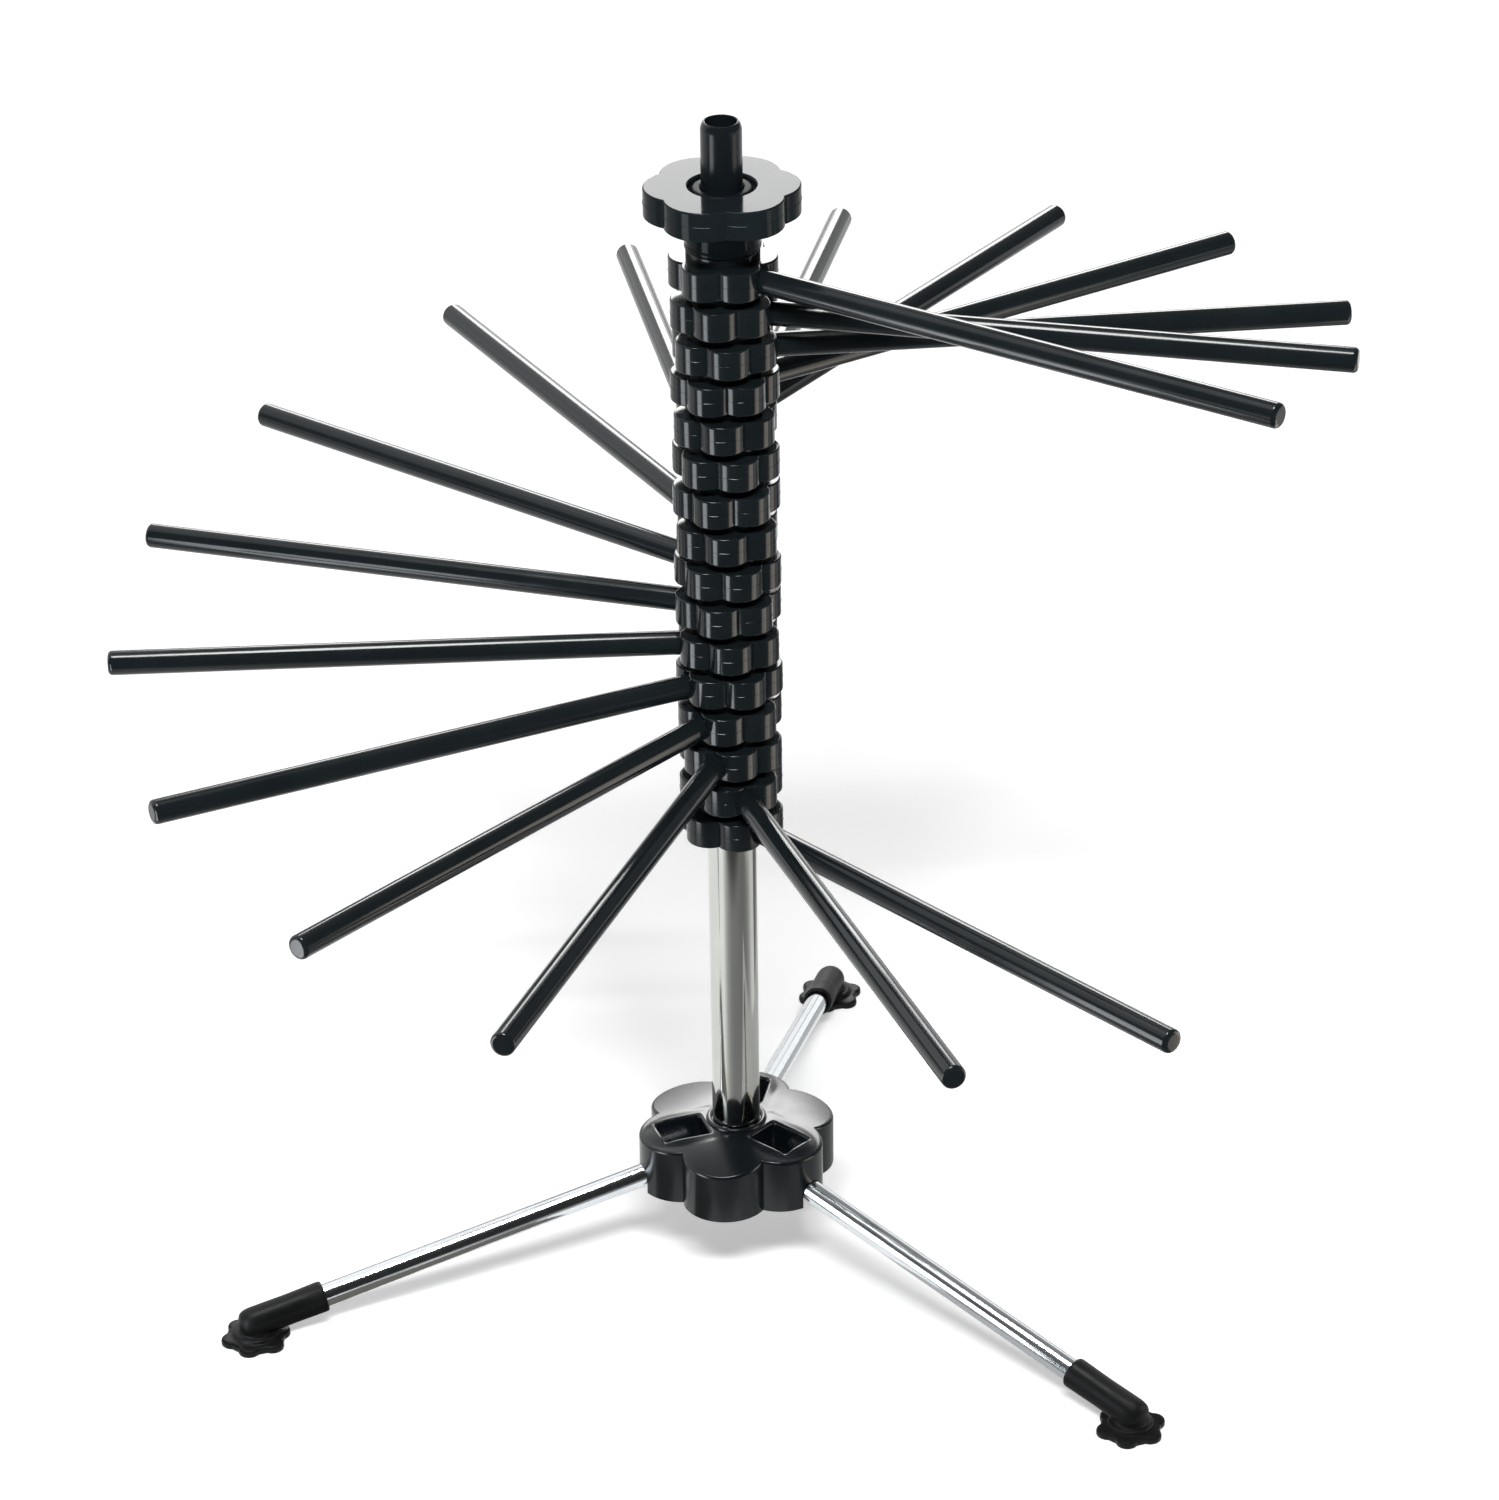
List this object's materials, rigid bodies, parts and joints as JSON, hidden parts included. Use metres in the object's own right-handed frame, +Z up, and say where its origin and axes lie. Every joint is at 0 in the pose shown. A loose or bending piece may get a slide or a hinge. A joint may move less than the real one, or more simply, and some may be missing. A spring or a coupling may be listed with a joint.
{
  "type": "pasta drying rack",
  "caption": "Folding-leg pasta drying rack: lobed hubs with long rods fan out in a spiral on an upright tube under a turning knob, with a transfer wand kept in the tube",
  "frame": {"origin": "on the floor plane that the three foot pads stand on, on the axis of the upright tube", "axes": "+Z up along the tube; +Y towards the rear leg, so -Y is the front, between the other two legs; +X right"},
  "size_m": [0.4995, 0.498, 0.5148],
  "materials": {
    "arm_plastic": "gloss",
    "knob_plastic": "gloss",
    "wand_plastic": "gloss",
    "base_plastic": "satin",
    "tube_steel": "polished",
    "leg_steel": "polished",
    "pin_steel": "satin",
    "boot_rubber": "matte"
  },
  "bodies": {
    "stand": {"base_hub": "base_plastic", "column_tube": "tube_steel", "arm_16": "arm_plastic", "top_bush": "knob_plastic", "leg_pin_rear": "pin_steel", "leg_pin_left": "pin_steel", "leg_pin_right": "pin_steel"},
    "arm_15": {"arm_15": "arm_plastic"},
    "arm_14": {"arm_14": "arm_plastic"},
    "arm_13": {"arm_13": "arm_plastic"},
    "arm_12": {"arm_12": "arm_plastic"},
    "arm_11": {"arm_11": "arm_plastic"},
    "arm_10": {"arm_10": "arm_plastic"},
    "arm_09": {"arm_09": "arm_plastic"},
    "arm_08": {"arm_08": "arm_plastic"},
    "arm_07": {"arm_07": "arm_plastic"},
    "arm_06": {"arm_06": "arm_plastic"},
    "arm_05": {"arm_05": "arm_plastic"},
    "arm_04": {"arm_04": "arm_plastic"},
    "arm_03": {"arm_03": "arm_plastic"},
    "arm_02": {"arm_02": "arm_plastic"},
    "arm_01": {"arm_01": "arm_plastic"},
    "top_knob": {"top_knob": "knob_plastic"},
    "transfer_wand": {"transfer_wand": "wand_plastic"},
    "leg_rear": {"leg_rear": "leg_steel", "boot_rear": "boot_rubber"},
    "leg_left": {"leg_left": "leg_steel", "boot_left": "boot_rubber"},
    "leg_right": {"leg_right": "leg_steel", "boot_right": "boot_rubber"}
  },
  "joints": [
    {"name": "arm_15_turn", "type": "hinge", "parent": "stand", "child": "arm_15", "pos_m": [0, 0, 0], "axis": [0, 0, -1], "range_deg": [-23, 22]},
    {"name": "arm_14_turn", "type": "hinge", "parent": "arm_15", "child": "arm_14", "pos_m": [0, 0, 0], "axis": [0, 0, -1], "range_deg": [-39.5, 5.5]},
    {"name": "arm_13_turn", "type": "hinge", "parent": "arm_14", "child": "arm_13", "pos_m": [0, 0, 0], "axis": [0, 0, -1], "range_deg": [-21, 24]},
    {"name": "arm_12_turn", "type": "hinge", "parent": "arm_13", "child": "arm_12", "pos_m": [0, 0, 0], "axis": [0, 0, -1], "range_deg": [-23, 22]},
    {"name": "arm_11_turn", "type": "hinge", "parent": "arm_12", "child": "arm_11", "pos_m": [0, 0, 0], "axis": [0, 0, -1], "range_deg": [-23, 22]},
    {"name": "arm_10_turn", "type": "hinge", "parent": "arm_11", "child": "arm_10", "pos_m": [0, 0, 0], "axis": [0, 0, -1], "range_deg": [-19.5, 25.5]},
    {"name": "arm_09_turn", "type": "hinge", "parent": "arm_10", "child": "arm_09", "pos_m": [0, 0, 0], "axis": [0, 0, -1], "range_deg": [-21.5, 23.5]},
    {"name": "arm_08_turn", "type": "hinge", "parent": "arm_09", "child": "arm_08", "pos_m": [0, 0, 0], "axis": [0, 0, -1], "range_deg": [-23.5, 21.5]},
    {"name": "arm_07_turn", "type": "hinge", "parent": "arm_08", "child": "arm_07", "pos_m": [0, 0, 0], "axis": [0, 0, -1], "range_deg": [-18.5, 26.5]},
    {"name": "arm_06_turn", "type": "hinge", "parent": "arm_07", "child": "arm_06", "pos_m": [0, 0, 0], "axis": [0, 0, -1], "range_deg": [-21.5, 23.5]},
    {"name": "arm_05_turn", "type": "hinge", "parent": "arm_06", "child": "arm_05", "pos_m": [0, 0, 0], "axis": [0, 0, -1], "range_deg": [-23, 22]},
    {"name": "arm_04_turn", "type": "hinge", "parent": "arm_05", "child": "arm_04", "pos_m": [0, 0, 0], "axis": [0, 0, -1], "range_deg": [-22.5, 22.5]},
    {"name": "arm_03_turn", "type": "hinge", "parent": "arm_04", "child": "arm_03", "pos_m": [0, 0, 0], "axis": [0, 0, -1], "range_deg": [-27, 18]},
    {"name": "arm_02_turn", "type": "hinge", "parent": "arm_03", "child": "arm_02", "pos_m": [0, 0, 0], "axis": [0, 0, -1], "range_deg": [-19, 26]},
    {"name": "arm_01_turn", "type": "hinge", "parent": "arm_02", "child": "arm_01", "pos_m": [0, 0, 0], "axis": [0, 0, -1], "range_deg": [-21.5, 23.5]},
    {"name": "top_knob_turn", "type": "hinge", "parent": "arm_01", "child": "top_knob", "pos_m": [0, 0, 0], "axis": [0, 0, -1], "range_deg": [-22, 23]},
    {"name": "transfer_wand_lift", "type": "slide", "parent": "stand", "child": "transfer_wand", "axis": [0, 0, 1], "range_m": [0, 0.45]},
    {"name": "leg_rear_fold", "type": "hinge", "parent": "stand", "child": "leg_rear", "pos_m": [0, 0.022, 0.04878], "axis": [-1, 0, 0], "range_deg": [0, 78]},
    {"name": "leg_left_fold", "type": "hinge", "parent": "stand", "child": "leg_left", "pos_m": [-0.01905, -0.011, 0.04878], "axis": [0.5, -0.866, 0], "range_deg": [0, 78]},
    {"name": "leg_right_fold", "type": "hinge", "parent": "stand", "child": "leg_right", "pos_m": [0.01905, -0.011, 0.04878], "axis": [0.5, 0.866, 0], "range_deg": [0, 78]}
  ]
}
